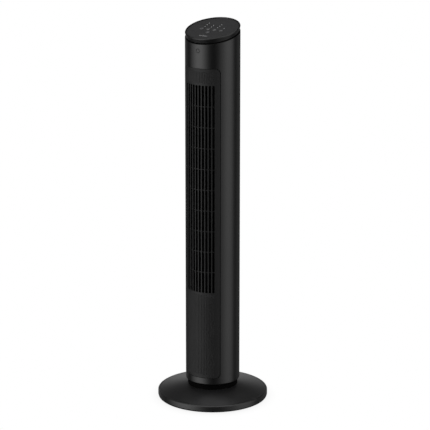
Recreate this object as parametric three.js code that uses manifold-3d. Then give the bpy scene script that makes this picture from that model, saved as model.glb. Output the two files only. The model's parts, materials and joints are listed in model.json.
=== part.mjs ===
// Tower fan: a round oscillating column with a cross-flow impeller, on a round weighted base.
// Millimetres, +Z up. The floor is z = 0, the fan's front faces -Y and the user's right is +X.
import * as THREE from 'three';
import { mergeVertices } from 'three/addons/utils/BufferGeometryUtils.js';
import Module from 'manifold-3d';

const wasm = await Module();
wasm.setup();

// ---- Driving dimensions ----------------------------------------------------------------
const BASE_RADIUS = 146;
const BASE_RIM_BOTTOM = 3.5;
const BASE_RIM_TOP = 20.5;
const BASE_CONE_TOP = 38;
const BASE_WALL = 2.8;
const FOOT_HEIGHT = 3;
const FOOT_CIRCLE = 126;

const NECK_RADIUS = 66;
const NECK_TOP = 51;
const POST_RADIUS = 14;
const POST_BORE = 10;
const POST_TOP = 75;

const COLUMN_RADIUS = 71.5;
const COLUMN_INNER = 68.7;
const COLUMN_BOTTOM = 53.5;
const COLUMN_TOP = 985.8;
const FLOOR_LEVEL = 54.5;
const FLOOR_THICKNESS = 3;
const TOP_SLOPE = 13;

const SEAM_ANGLE = 120;
const SEAM_HALF_GAP = 0.2;
const GAP = 0.3;

const INSERT_HALF_ANGLE = 48.6;
const INSERT_BOTTOM = 71;
const INSERT_TOP = 907;
const SLOT_PITCH = 7.5;
const SLOT_WIDTH_ANGLE = 4.3;
const OUTLET_SLOTS = 10;
const OUTLET_BOTTOM = 308;
const OUTLET_TOP = 863;
const OUTLET_BAYS = 10;
const INTAKE_SLOTS = 13;
const INTAKE_BAYS = 4;

const DUCT_BOTTOM = 297;
const DUCT_TOP = 876;
const WHEEL_RADIUS = 44;
const WHEEL_BOTTOM = 304;
const WHEEL_TOP = 870;
const WHEEL_BLADES = 18;
const WHEEL_SECTIONS = 3;
const SHAFT_RADIUS = 4;

const MOTOR_BOTTOM = 208;
const MOTOR_TOP = 278;
const MOTOR_RADIUS = 42;

const GEAR_MODULE = 1.5;
const GEAR_TEETH = 40;
const PINION_TEETH = 12;
const GEAR_BACKLASH_ANGLE = 1;
const GEAR_BOTTOM = 61;
const GEAR_TOP = 67;
const DRIVE_DISTANCE = (GEAR_MODULE * (GEAR_TEETH + PINION_TEETH)) / 2 + 0.2;
const DRIVE_MOTOR_BOTTOM = 78;

const WIRE_RADIUS = 2.4;
const WIRE_X = 58.5;
const WIRE_Y = 26;

const REAR_SPLIT = 888;
const REAR_NOTCHES = [350, 586, 770];
const HANDLE_BOTTOM = 903;
const HANDLE_TOP = 947;
const HANDLE_HALF_WIDTH = 40;
const HANDLE_BACK = 36;

const CAP_HEIGHT = 14.8;
const CAP_RADIUS = 71.4;
const CAP_GROOVE = 2.7;
const CAP_TAPER = 1.4;
const PANEL_RADIUS = 68;
const PANEL_THICKNESS = 2.4;
const PANEL_FACE = 12.3;
const BUTTON_RADIUS = 6.3;
const BUTTON_PITCH = 19.2;
const BUTTON_ROW_Y = -7;
const POWER_BUTTON_Y = -24.5;
const LED_FIRST_ROW_Y = 9.5;
const LED_ROW_PITCH = 10.5;
const SENSOR_HEIGHT = 952.5;
const SENSOR_RADIUS = 6;

// ---- Geometry helpers ------------------------------------------------------------------
const radians = THREE.MathUtils.degToRad;
const slope = Math.tan(radians(TOP_SLOPE));

// A point at an angle from the fan's front, counted towards the user's right.
function fromFront(radius, degrees) {
  const angle = radians(degrees);
  return new THREE.Vector2(radius * Math.sin(angle), -radius * Math.cos(angle));
}

function toSolid(geometry) {
  const bare = geometry.clone();
  bare.deleteAttribute('normal');
  bare.deleteAttribute('uv');
  const merged = mergeVertices(bare, 1e-4);
  const index = merged.index.array;
  const triangles = [];
  for (let i = 0; i < index.length; i += 3) {
    const [a, b, c] = [index[i], index[i + 1], index[i + 2]];
    if (a !== b && b !== c && c !== a) triangles.push(a, b, c);
  }
  return new wasm.Manifold(new wasm.Mesh({
    numProp: 3,
    vertProperties: new Float32Array(merged.attributes.position.array),
    triVerts: new Uint32Array(triangles),
  }));
}

function toGeometry(solid) {
  const mesh = solid.getMesh();
  const geometry = new THREE.BufferGeometry();
  geometry.setAttribute('position', new THREE.BufferAttribute(mesh.vertProperties, 3));
  geometry.setIndex(new THREE.BufferAttribute(mesh.triVerts, 1));
  return geometry;
}

function join(first, ...others) {
  return toGeometry(others.reduce((sum, next) => sum.add(toSolid(next)), toSolid(first)));
}

function cut(body, ...tools) {
  return toGeometry(tools.reduce((rest, tool) => rest.subtract(toSolid(tool)), toSolid(body)));
}

function common(first, second) {
  return toGeometry(toSolid(first).intersect(toSolid(second)));
}

function block(x0, x1, y0, y1, z0, z1) {
  const geometry = new THREE.BoxGeometry(x1 - x0, y1 - y0, z1 - z0);
  return geometry.translate((x0 + x1) / 2, (y0 + y1) / 2, (z0 + z1) / 2);
}

function rod(radius, z0, z1, sides = 16, x = 0, y = 0) {
  const geometry = new THREE.CylinderGeometry(radius, radius, z1 - z0, sides);
  return geometry.rotateX(Math.PI / 2).translate(x, y, (z0 + z1) / 2);
}

// A solid of revolution about Z from a closed outline of [radius, height] corners,
// listed so that the outer side runs upwards.
function turned(outline, segments = 48) {
  const points = outline.map(([radius, height]) => new THREE.Vector2(radius, height));
  points.push(points[0].clone());
  return new THREE.LatheGeometry(points, segments).rotateX(Math.PI / 2);
}

function ring(inner, outer, z0, z1, segments = 24) {
  return turned([[inner, z0], [outer, z0], [outer, z1], [inner, z1]], segments);
}

function prism(shape, z0, z1, curveSegments = 6) {
  const options = { depth: z1 - z0, bevelEnabled: false, curveSegments };
  return new THREE.ExtrudeGeometry(shape, options).translate(0, 0, z0);
}

// A wall that follows an arc, between two angles from the front. Its facets meet at the
// given phase and at every slot pitch from there, so that each bar of a grille stays flat.
function sector(inner, outer, startAngle, endAngle, z0, z1, phase = 0) {
  const angles = [startAngle];
  const first = Math.ceil((startAngle - phase) / SLOT_PITCH + 0.01) * SLOT_PITCH + phase;
  for (let angle = first; angle < endAngle - 0.1; angle += SLOT_PITCH) angles.push(angle);
  angles.push(endAngle);
  const outerSide = angles.map((angle) => fromFront(outer, angle));
  const innerSide = angles.map((angle) => fromFront(inner, angle)).reverse();
  return prism(new THREE.Shape([...outerSide, ...innerSide]), z0, z1);
}

// Lifts every corner at the top level so that the top face follows the fan's slanted top.
function slantTop(geometry, level) {
  const position = geometry.attributes.position;
  for (let i = 0; i < position.count; i += 1) {
    if (position.getZ(i) > level - 0.01) {
      position.setZ(i, position.getZ(i) + slope * position.getY(i));
    }
  }
  return geometry;
}

// Shears a whole flat piece, drawn from height 0, onto the slanted top of the housing.
function onSlope(geometry) {
  const position = geometry.attributes.position;
  for (let i = 0; i < position.count; i += 1) {
    position.setZ(i, COLUMN_TOP + position.getZ(i) + slope * position.getY(i));
  }
  return geometry;
}

// A rounded opening drawn flat in X and Z and pushed along Y, as a mould's side core is.
function sideCore(halfWidth, z0, z1, cornerX, cornerZ, y0, y1) {
  const outline = new THREE.Shape();
  outline.absellipse(halfWidth - cornerX, z1 - cornerZ, cornerX, cornerZ, 0, Math.PI / 2);
  outline.absellipse(cornerX - halfWidth, z1 - cornerZ, cornerX, cornerZ, Math.PI / 2, Math.PI);
  outline.absellipse(cornerX - halfWidth, z0 + cornerZ, cornerX, cornerZ, Math.PI, Math.PI * 1.5);
  outline.absellipse(halfWidth - cornerX, z0 + cornerZ, cornerX, cornerZ, Math.PI * 1.5, Math.PI * 2);
  return prism(outline, -y1, -y0, 4).rotateX(Math.PI / 2);
}

function bentRod(points, radius, sides = 6) {
  const path = new THREE.CatmullRomCurve3(points.map(([x, y, z]) => new THREE.Vector3(x, y, z)));
  const section = new THREE.Shape();
  section.absarc(0, 0, radius, 0, Math.PI * 2);
  const options = { steps: points.length * 3, curveSegments: sides / 2, extrudePath: path };
  return new THREE.ExtrudeGeometry(section, options);
}

function gearShape(teeth, boreRadius, backlashAngle, phase) {
  const pitchRadius = (GEAR_MODULE * teeth) / 2;
  const tip = pitchRadius + GEAR_MODULE * 0.9;
  const root = pitchRadius - GEAR_MODULE * 1.2;
  const pitch = 360 / teeth;
  const corners = [[root, -0.36], [tip, -0.12], [tip, 0.12], [root, 0.36]];
  const points = [];
  for (let tooth = 0; tooth < teeth; tooth += 1) {
    for (const [radius, offset] of corners) {
      const slack = (Math.sign(offset) * backlashAngle) / 2;
      const angle = radians(phase + (tooth + offset) * pitch - slack);
      points.push(new THREE.Vector2(radius * Math.cos(angle), radius * Math.sin(angle)));
    }
  }
  const outline = new THREE.Shape(points);
  if (boreRadius > 0) outline.holes.push(new THREE.Path().absarc(0, 0, boreRadius, 0, Math.PI * 2));
  return outline;
}

// ---- Materials -------------------------------------------------------------------------
function plastic(color, roughness) {
  return new THREE.MeshStandardMaterial({ color, roughness, metalness: 0 });
}

function metal(color, roughness) {
  return new THREE.MeshStandardMaterial({ color, roughness, metalness: 1 });
}

const satinBlack = plastic(0x2b2b2c, 0.42);
const darkPlastic = plastic(0x161617, 0.6);
const faceBlack = plastic(0x343435, 0.5);
const greyPlastic = plastic(0x555657, 0.5);
const whitePlastic = plastic(0xe4e2da, 0.5);
const clearPlastic = plastic(0xb9c4c8, 0.2);
const rubber = plastic(0x1b1b1b, 0.85);
const boardGreen = plastic(0x1f5a35, 0.5);
const steel = metal(0x9a9b9c, 0.35);
const castIron = metal(0x3c3d3f, 0.7);
const motorSteel = metal(0x77797b, 0.4);

const fan = new THREE.Group();

function addPart(name, geometry, material, parent = fan) {
  const mesh = new THREE.Mesh(geometry, material);
  mesh.name = name;
  parent.add(mesh);
  return mesh;
}

// ---- Base ------------------------------------------------------------------------------
const CONE_FOOT_RADIUS = BASE_RADIUS - 3;
const PILLAR_CIRCLE = 134;
const pillarAngles = [45, 135, 225, 315];

function coneUnderside(radius) {
  const rise = (BASE_CONE_TOP - BASE_RIM_TOP) / (CONE_FOOT_RADIUS - NECK_RADIUS - 1);
  return BASE_RIM_TOP + (CONE_FOOT_RADIUS - radius) * rise - BASE_WALL;
}

function makeBaseCover() {
  const neckEdge = NECK_RADIUS + 1;
  const shell = turned([
    [BASE_RADIUS - 3.6, BASE_RIM_BOTTOM], [BASE_RADIUS - 1.4, BASE_RIM_BOTTOM],
    [BASE_RADIUS, BASE_RIM_BOTTOM + 3.5], [BASE_RADIUS, BASE_RIM_TOP - 4],
    [BASE_RADIUS - 1, BASE_RIM_TOP - 1.2], [CONE_FOOT_RADIUS, BASE_RIM_TOP],
    [neckEdge, BASE_CONE_TOP], [NECK_RADIUS - 2, BASE_CONE_TOP],
    [NECK_RADIUS - 2, BASE_CONE_TOP - BASE_WALL], [neckEdge, BASE_CONE_TOP - BASE_WALL],
    [CONE_FOOT_RADIUS - 1, BASE_RIM_TOP - BASE_WALL], [BASE_RADIUS - BASE_WALL, BASE_RIM_TOP - 5],
  ]);
  const pillars = pillarAngles.map((angle) => {
    const centre = fromFront(PILLAR_CIRCLE, angle);
    return rod(4, 5.8, coneUnderside(PILLAR_CIRCLE) + 1, 10, centre.x, centre.y);
  });
  const screwHoles = pillarAngles.map((angle) => {
    const centre = fromFront(PILLAR_CIRCLE, angle);
    return rod(2.1, 5, 15, 8, centre.x, centre.y);
  });
  const cordHole = block(-8, 8, 130, 150, 6.5, 17.5);
  return cut(join(shell, ...pillars), ...screwHoles, cordHole);
}

function makeBasePlate() {
  const plate = turned([
    [8, FOOT_HEIGHT], [BASE_RADIUS - 4.6, FOOT_HEIGHT],
    [BASE_RADIUS - 4.6, FOOT_HEIGHT + 2.5], [8, FOOT_HEIGHT + 2.5],
  ], 36);
  const screwHoles = pillarAngles.map((angle) => {
    const centre = fromFront(PILLAR_CIRCLE, angle);
    return rod(2.3, 0, 10, 8, centre.x, centre.y);
  });
  return cut(plate, ...screwHoles);
}

function makeBaseScrew() {
  const head = [[0, 1], [3.2, 1], [3.8, 1.8], [3.8, FOOT_HEIGHT]];
  const shank = [[1.9, FOOT_HEIGHT], [1.9, 13], [0, 14]];
  return turned([...head, ...shank], 8);
}

function makeCordGland() {
  const body = block(-7.6, 7.6, 131, BASE_RADIUS, 6.9, 17.1);
  const bore = rod(3.7, -20, 20, 12).rotateX(Math.PI / 2).translate(0, 138, 12);
  return cut(body, bore);
}

function makeNeckRing() {
  return turned([
    [NECK_RADIUS - 2.5, BASE_CONE_TOP], [NECK_RADIUS, BASE_CONE_TOP],
    [NECK_RADIUS, NECK_TOP], [POST_RADIUS + 10, NECK_TOP],
    [POST_RADIUS + 10, NECK_TOP - 2.5], [NECK_RADIUS - 2.5, NECK_TOP - 2.5],
  ], 36);
}

function makePivotPost() {
  const flange = FOOT_HEIGHT + 2.5;
  return turned([
    [POST_BORE, flange], [34, flange], [34, flange + 3], [POST_RADIUS + 3, flange + 7],
    [POST_RADIUS, flange + 14], [POST_RADIUS, POST_TOP], [POST_BORE, POST_TOP],
  ], 24);
}

function buildBase() {
  addPart('base_cover', makeBaseCover(), satinBlack);
  addPart('base_plate', makeBasePlate(), darkPlastic);
  addPart('ballast_ring', ring(84, 122, 5.5, 12.5, 24), castIron);
  for (let i = 0; i < 6; i += 1) {
    const centre = fromFront(FOOT_CIRCLE, 30 + i * 60);
    addPart(`rubber_foot_${i + 1}`, rod(9, 0, FOOT_HEIGHT, 16, centre.x, centre.y), rubber);
  }
  pillarAngles.forEach((angle, i) => {
    const screw = addPart(`base_screw_${i + 1}`, makeBaseScrew(), steel);
    const centre = fromFront(PILLAR_CIRCLE, angle);
    screw.position.set(centre.x, centre.y, 0);
  });
  addPart('cord_gland', makeCordGland(), rubber);
  addPart('neck_ring', makeNeckRing(), darkPlastic);
  addPart('slide_ring', ring(46, 58, NECK_TOP, FLOOR_LEVEL - GAP), whitePlastic);
  addPart('pivot_post', makePivotPost(), darkPlastic);
  const fixedGear = gearShape(GEAR_TEETH, POST_RADIUS + GAP, GEAR_BACKLASH_ANGLE, 360 / GEAR_TEETH / 2);
  addPart('fixed_gear', prism(fixedGear, GEAR_BOTTOM, GEAR_TOP, 12), whitePlastic);
  const nutShape = new THREE.Shape(Array.from({ length: 6 }, (_, i) => fromFront(20, i * 60)));
  nutShape.holes.push(new THREE.Path().absarc(0, 0, POST_RADIUS + GAP, 0, Math.PI * 2));
  addPart('post_nut', prism(nutShape, GEAR_TOP + GAP, GEAR_TOP + 7, 12), steel);
}

// ---- Column casings --------------------------------------------------------------------
const insertHalfWidth = COLUMN_RADIUS * Math.sin(radians(INSERT_HALF_ANGLE));

function bottomRounding() {
  return turned([
    [COLUMN_RADIUS - 2.2, COLUMN_BOTTOM - 1], [COLUMN_RADIUS + 2, COLUMN_BOTTOM - 1],
    [COLUMN_RADIUS + 2, COLUMN_BOTTOM + 3], [COLUMN_RADIUS - 0.7, COLUMN_BOTTOM + 0.9],
  ]);
}

function makeFrontHousing() {
  const edge = SEAM_ANGLE - SEAM_HALF_GAP;
  const wall = sector(COLUMN_INNER, COLUMN_RADIUS, -edge, edge, COLUMN_BOTTOM, COLUMN_TOP);
  const shell = slantTop(wall, COLUMN_TOP);
  const window = sideCore(insertHalfWidth, INSERT_BOTTOM, INSERT_TOP, 9, 13, -90, -20);
  const sensorHole = rod(SENSOR_RADIUS + GAP, -10, 10).rotateX(Math.PI / 2);
  sensorHole.translate(0, -COLUMN_RADIUS, SENSOR_HEIGHT);
  return cut(shell, window, bottomRounding(), sensorHole);
}

// The upright slots of a grille, as solids to cut away, spread evenly about a middle angle.
function airSlots(count, middleAngle) {
  return Array.from({ length: count }, (_, i) => {
    const middle = middleAngle + (i - (count - 1) / 2) * SLOT_PITCH;
    const half = SLOT_WIDTH_ANGLE / 2;
    return sector(60, 80, middle - half, middle + half, OUTLET_BOTTOM, OUTLET_TOP, middle);
  });
}

// Thin level ribs that tie the bars of a grille together from behind.
function tieRibs(bays, inner, outer, middleAngle, halfAngle, phase) {
  const bay = (OUTLET_TOP - OUTLET_BOTTOM) / bays;
  return Array.from({ length: bays - 1 }, (_, i) => {
    const height = OUTLET_BOTTOM + (i + 1) * bay;
    const [start, end] = [middleAngle - halfAngle, middleAngle + halfAngle];
    return sector(inner, outer, start, end, height - 1, height + 1, phase);
  });
}

function makeFrontGrille() {
  const phase = SLOT_PITCH / 2;
  const edge = INSERT_HALF_ANGLE + 2;
  const flangeOuter = COLUMN_INNER - GAP;
  const flangeInner = flangeOuter - 2.2;
  const wide = sector(flangeOuter - 0.1, COLUMN_RADIUS - 0.5, -edge, edge, INSERT_BOTTOM, INSERT_TOP, phase);
  const outline = sideCore(insertHalfWidth - 0.4, INSERT_BOTTOM + 0.4, INSERT_TOP - 0.4, 8.7, 12.7, -90, -20);
  const flange = sector(flangeInner, flangeOuter, -edge, edge, INSERT_BOTTOM - 4, INSERT_TOP + 4, phase);
  const outletEdge = (OUTLET_SLOTS * SLOT_PITCH) / 2;
  const opening = sector(50, flangeOuter - 0.1, -outletEdge, outletEdge, OUTLET_BOTTOM, OUTLET_TOP, phase);
  const panel = join(common(wide, outline), cut(flange, opening));
  const ribs = tieRibs(OUTLET_BAYS, flangeInner, flangeOuter + 0.1, 0, outletEdge + 1, phase);
  return join(cut(panel, ...airSlots(OUTLET_SLOTS, 0)), ...ribs);
}

function makeRearGrille() {
  const [start, end] = [SEAM_ANGLE + SEAM_HALF_GAP, 360 - SEAM_ANGLE - SEAM_HALF_GAP];
  const panel = sector(COLUMN_INNER, COLUMN_RADIUS, start, end, COLUMN_BOTTOM, REAR_SPLIT - GAP);
  const notches = REAR_NOTCHES.flatMap((height) => {
    const edges = [SEAM_ANGLE, 360 - SEAM_ANGLE];
    return edges.map((edge) => {
      return sector(COLUMN_RADIUS - 1, COLUMN_RADIUS + 2, edge - 1.8, edge + 1.8, height - 2.5, height + 2.5);
    });
  });
  const halfSpread = (INTAKE_SLOTS * SLOT_PITCH) / 2 + 1;
  const ribs = tieRibs(INTAKE_BAYS, COLUMN_INNER - 2, COLUMN_INNER + 0.2, 180, halfSpread, 0);
  const slotted = cut(panel, bottomRounding(), ...notches, ...airSlots(INTAKE_SLOTS, 180));
  return join(slotted, ...ribs);
}

function makeHandleShell() {
  const [start, end] = [SEAM_ANGLE + SEAM_HALF_GAP, 360 - SEAM_ANGLE - SEAM_HALF_GAP];
  const shell = sector(COLUMN_INNER, COLUMN_RADIUS, start, end, REAR_SPLIT, COLUMN_TOP);
  const grip = sideCore(HANDLE_HALF_WIDTH, HANDLE_BOTTOM, HANDLE_TOP, 10, 14, 20, 90);
  return cut(slantTop(shell, COLUMN_TOP), grip);
}

function makeHandleCup() {
  const wall = 3;
  const [low, high] = [HANDLE_BOTTOM - wall, HANDLE_TOP + wall];
  const outer = sideCore(HANDLE_HALF_WIDTH + wall, low, high, 12, 16, HANDLE_BACK - wall, 90);
  const inside = rod(COLUMN_INNER - GAP, low - 5, high + 5, 48);
  const hollow = sideCore(HANDLE_HALF_WIDTH, HANDLE_BOTTOM, HANDLE_TOP, 10, 14, HANDLE_BACK, 90);
  return cut(common(outer, inside), hollow);
}

function makeColumnFloor() {
  const bore = POST_RADIUS + 0.4;
  const top = FLOOR_LEVEL + FLOOR_THICKNESS;
  const disc = turned([
    [bore, FLOOR_LEVEL], [COLUMN_INNER - 0.5, FLOOR_LEVEL], [COLUMN_INNER - 0.5, top],
    [POST_RADIUS + 8, top], [POST_RADIUS + 8, top + 2.5], [bore, top + 2.5],
  ]);
  const pillars = [-29, 29].map((y) => rod(4, top - 1, DRIVE_MOTOR_BOTTOM - GAP, 10, -DRIVE_DISTANCE, y));
  return join(disc, ...pillars);
}

function buildCasings() {
  addPart('front_housing', makeFrontHousing(), satinBlack);
  addPart('front_grille', makeFrontGrille(), satinBlack);
  addPart('rear_grille', makeRearGrille(), satinBlack);
  addPart('handle_shell', makeHandleShell(), satinBlack);
  addPart('handle_cup', makeHandleCup(), darkPlastic);
  addPart('column_floor', makeColumnFloor(), darkPlastic);
}

// ---- Air duct --------------------------------------------------------------------------
// A thin upright wall that runs through [radius, angle from the front] stations.
function ductWall(stations, thickness) {
  const centre = new THREE.SplineCurve(stations.map(([radius, angle]) => fromFront(radius, angle)));
  const points = centre.getPoints(stations.length * 4);
  const side = (sign) => points.map((point, i) => {
    const tangent = centre.getTangent(i / (points.length - 1));
    const normal = new THREE.Vector2(-tangent.y, tangent.x);
    return point.clone().addScaledVector(normal, (sign * thickness) / 2);
  });
  return prism(new THREE.Shape([...side(-1), ...side(1).reverse()]), DUCT_BOTTOM + 3 + GAP, DUCT_TOP - GAP);
}

function buildDuct() {
  const plateRadius = COLUMN_INNER - 3;
  const wireNotch = rod(WIRE_RADIUS + 1.5, DUCT_BOTTOM - 5, DUCT_TOP + 8, 8, WIRE_X, WIRE_Y);
  const floor = ring(SHAFT_RADIUS + 5, plateRadius, DUCT_BOTTOM, DUCT_BOTTOM + 3);
  addPart('duct_floor', cut(floor, wireNotch), darkPlastic);
  const roof = turned([
    [14.3, DUCT_TOP], [plateRadius, DUCT_TOP], [plateRadius, DUCT_TOP + 3],
    [18, DUCT_TOP + 3], [18, DUCT_TOP + 12], [14.3, DUCT_TOP + 12],
  ], 24);
  addPart('duct_roof', cut(roof, wireNotch), darkPlastic);
  const volute = [[64.5, -50], [63, -70], [59, -95], [54, -118], [54, -130]];
  addPart('volute_wall', ductWall(volute, 2), darkPlastic);
  const tongue = [[64.5, 50], [55, 57], [50, 70], [51, 92], [54, 112], [60, 128]];
  addPart('tongue_wall', ductWall(tongue, 2), darkPlastic);
}

// ---- Impeller and blower motor ---------------------------------------------------------
function bladeShape(angle) {
  const root = WHEEL_RADIUS - 11;
  return new THREE.Shape([
    fromFront(root, angle - 7), fromFront(WHEEL_RADIUS - 4.5, angle - 3.5),
    fromFront(WHEEL_RADIUS - 1, angle), fromFront(WHEEL_RADIUS - 3.5, angle - 5.5),
  ]);
}

function makeWheel() {
  const discs = [];
  const pitch = (WHEEL_TOP - WHEEL_BOTTOM - 2) / WHEEL_SECTIONS;
  for (let i = 0; i <= WHEEL_SECTIONS; i += 1) {
    const level = WHEEL_BOTTOM + i * pitch;
    const atEnd = i === 0 || i === WHEEL_SECTIONS;
    const bore = i === 0 ? 12.3 : 3.3;
    discs.push(ring(atEnd ? bore : WHEEL_RADIUS - 12.5, WHEEL_RADIUS, level, level + 2, 18));
  }
  const blades = [];
  for (let i = 0; i < WHEEL_BLADES; i += 1) {
    blades.push(prism(bladeShape((i * 360) / WHEEL_BLADES), WHEEL_BOTTOM + 1, WHEEL_TOP - 1));
  }
  return join(discs[0], ...blades, ...discs.slice(1));
}

function makeMotorHousing() {
  const bore = SHAFT_RADIUS + 5;
  return turned([
    [bore, MOTOR_BOTTOM], [MOTOR_RADIUS - 6, MOTOR_BOTTOM], [MOTOR_RADIUS, MOTOR_BOTTOM + 6],
    [MOTOR_RADIUS, MOTOR_TOP - 6], [MOTOR_RADIUS - 6, MOTOR_TOP], [bore, MOTOR_TOP],
    [bore, MOTOR_TOP - 2], [MOTOR_RADIUS - 2, MOTOR_TOP - 7], [MOTOR_RADIUS - 2, MOTOR_BOTTOM + 7],
    [bore, MOTOR_BOTTOM + 2],
  ], 24);
}

function makeMotorBracket() {
  const level = MOTOR_TOP + 0.3;
  const arms = [0, 120, 240].map((angle) => {
    return block(-8, 8, 10, 58, level, level + 2).rotateZ(radians(angle));
  });
  const hole = rod(SHAFT_RADIUS + 5, level - 5, level + 5, 24);
  return cut(join(rod(24, level, level + 2, 24), ...arms), hole);
}

function buildBlower() {
  addPart('impeller_wheel', makeWheel(), darkPlastic);
  addPart('motor_shaft', rod(SHAFT_RADIUS, MOTOR_BOTTOM - 4, WHEEL_BOTTOM + 22, 12), steel);
  addPart('wheel_hub', ring(SHAFT_RADIUS + 0.1, 12, WHEEL_BOTTOM - 1, WHEEL_BOTTOM + 18, 24), rubber);
  addPart('motor_rotor', ring(SHAFT_RADIUS + 0.1, 23.5, MOTOR_BOTTOM + 18, MOTOR_TOP - 18, 24), motorSteel);
  addPart('top_pin', rod(3, WHEEL_TOP - 4, DUCT_TOP + 11, 12), steel);
  addPart('motor_housing', makeMotorHousing(), motorSteel);
  addPart('motor_stator', ring(24.4, MOTOR_RADIUS - 2.4, MOTOR_BOTTOM + 16, MOTOR_TOP - 16, 24), castIron);
  addPart('motor_bracket', makeMotorBracket(), steel);
  for (let i = 0; i < 3; i += 1) {
    const mount = rod(6, MOTOR_TOP + 2.6, DUCT_BOTTOM - GAP, 12, 0, 51).rotateZ(radians(i * 120));
    addPart(`motor_mount_${i + 1}`, mount, rubber);
  }
  addPart('bearing_holder', ring(7.3, 14, DUCT_TOP + 0.5, DUCT_TOP + 11.5, 24), rubber);
  addPart('top_bearing', ring(3.1, 7, DUCT_TOP + 1, DUCT_TOP + 10, 24), metal(0xa07a3c, 0.4));
}

// ---- Oscillation drive and electrics ---------------------------------------------------
function makePinion() {
  const toothed = prism(gearShape(PINION_TEETH, 0, 0, 0), GEAR_BOTTOM, GEAR_TOP);
  const stem = rod(3, GEAR_TOP - 1, DRIVE_MOTOR_BOTTOM - GAP, 12);
  return join(toothed, stem).translate(-DRIVE_DISTANCE, 0, 0);
}

function makeDriveMotor() {
  const can = rod(25, DRIVE_MOTOR_BOTTOM + 1.5, DRIVE_MOTOR_BOTTOM + 19, 32);
  const ears = block(-6, 6, -33, 33, DRIVE_MOTOR_BOTTOM, DRIVE_MOTOR_BOTTOM + 2);
  return join(can, ears).translate(-DRIVE_DISTANCE, 0, 0);
}

function makePowerBoard() {
  const board = block(-42, 42, 28, 29.6, 104, 186);
  const transformer = block(-34, -8, 12, 28.5, 112, 138);
  const relay = block(6, 24, 14, 28.5, 112, 128);
  const connector = block(-30, 30, 20, 28.5, 168, 178);
  return join(board, transformer, relay, connector);
}

function makeSensorCover() {
  const disc = rod(SENSOR_RADIUS, -1.2, 1.2, 16);
  const holes = Array.from({ length: 8 }, (_, i) => {
    const centre = fromFront(4.3, i * 45);
    return rod(0.8, -3, 3, 6, centre.x, centre.y);
  });
  return cut(disc, ...holes).rotateX(Math.PI / 2).translate(0, -COLUMN_RADIUS + 1.6, SENSOR_HEIGHT);
}

function buildElectrics() {
  addPart('pinion', makePinion(), whitePlastic);
  addPart('oscillation_motor', makeDriveMotor(), motorSteel);
  addPart('power_board', makePowerBoard(), boardGreen);
  addPart('run_capacitor', block(-22, 22, -36, -14, 120, 152), whitePlastic);
  addPart('sensor_cover', makeSensorCover(), darkPlastic);
  addPart('signal_receiver', block(-4, 4, -67.5, -61, SENSOR_HEIGHT - 4, SENSOR_HEIGHT + 4), darkPlastic);
  const route = [
    [50, 20, 106], [56, WIRE_Y, 150], [WIRE_X, WIRE_Y, 220], [WIRE_X, WIRE_Y, 550], [WIRE_X, WIRE_Y, 888],
    [57, 18, 905], [44, 6, 935], [34, 2, 955],
  ];
  addPart('wire_harness', bentRod(route, WIRE_RADIUS), rubber);
}

// ---- Slanted top: cap, control panel, buttons ------------------------------------------
// The controls sit in a frame turned about X, so that its Z axis is the panel's normal.
const controls = new THREE.Group();
controls.rotation.x = radians(TOP_SLOPE);
controls.position.z = COLUMN_TOP + PANEL_FACE;
fan.add(controls);

const buttonPlaces = {
  button_power: [0, POWER_BUTTON_Y],
  button_speed: [-1.5 * BUTTON_PITCH, BUTTON_ROW_Y],
  button_mode: [-0.5 * BUTTON_PITCH, BUTTON_ROW_Y],
  button_timer: [0.5 * BUTTON_PITCH, BUTTON_ROW_Y],
  button_swing: [1.5 * BUTTON_PITCH, BUTTON_ROW_Y],
};
const lightsPerColumn = [3, 2, 3, 1];
const lightPlaces = lightsPerColumn.flatMap((count, column) => {
  const x = (column - 1.5) * BUTTON_PITCH;
  return Array.from({ length: count }, (_, row) => [x, LED_FIRST_ROW_Y + row * LED_ROW_PITCH]);
});

// Moves a tool drawn about the panel's normal into the fan's own axes.
function inPanelFrame(geometry) {
  controls.updateMatrixWorld(true);
  return geometry.clone().applyMatrix4(controls.matrixWorld);
}

function makeTopCap() {
  const rounding = 2.8;
  const skirt = COLUMN_INNER - GAP - 0.1;
  const seat = PANEL_FACE - PANEL_THICKNESS - GAP;
  const arc = Array.from({ length: 4 }, (_, i) => {
    const angle = radians(i * 30);
    return [
      CAP_RADIUS - rounding + rounding * Math.cos(angle),
      CAP_HEIGHT - rounding + rounding * Math.sin(angle),
    ];
  });
  return onSlope(turned([
    [skirt - 2.4, -9], [skirt, -9], [skirt, CAP_GROOVE], [CAP_RADIUS - CAP_TAPER, CAP_GROOVE], ...arc,
    [PANEL_RADIUS + GAP, CAP_HEIGHT], [PANEL_RADIUS + GAP, seat], [PANEL_RADIUS - 3.5, seat],
    [PANEL_RADIUS - 3.5, seat - 2], [skirt - 2.4, seat - 2],
  ]));
}

function makeControlPanel() {
  const disc = onSlope(rod(PANEL_RADIUS, PANEL_FACE - PANEL_THICKNESS, PANEL_FACE, 48));
  const buttonHoles = Object.values(buttonPlaces).map(([x, y]) => {
    return inPanelFrame(rod(BUTTON_RADIUS + 0.35, -8, 8, 16, x, y));
  });
  const lightHoles = lightPlaces.map(([x, y]) => inPanelFrame(rod(1.5, -8, 8, 6, x, y)));
  return cut(disc, ...buttonHoles, ...lightHoles);
}

function makeButton() {
  return turned([
    [0, -8], [2, -8], [2, -4.6], [BUTTON_RADIUS + 1.6, -4.6], [BUTTON_RADIUS + 1.6, -3.6],
    [BUTTON_RADIUS, -3.6], [BUTTON_RADIUS, 1], [0, 1],
  ], 12);
}

function makeLightGuide() {
  const halfWidth = 1.6 * BUTTON_PITCH;
  const farEdge = LED_FIRST_ROW_Y + 2.3 * LED_ROW_PITCH;
  const bar = block(-halfWidth, halfWidth, LED_FIRST_ROW_Y - 3, farEdge, -5, -3.2);
  const pins = lightPlaces.map(([x, y]) => rod(1, -4, 0.1, 6, x, y));
  return join(bar, ...pins);
}

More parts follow.
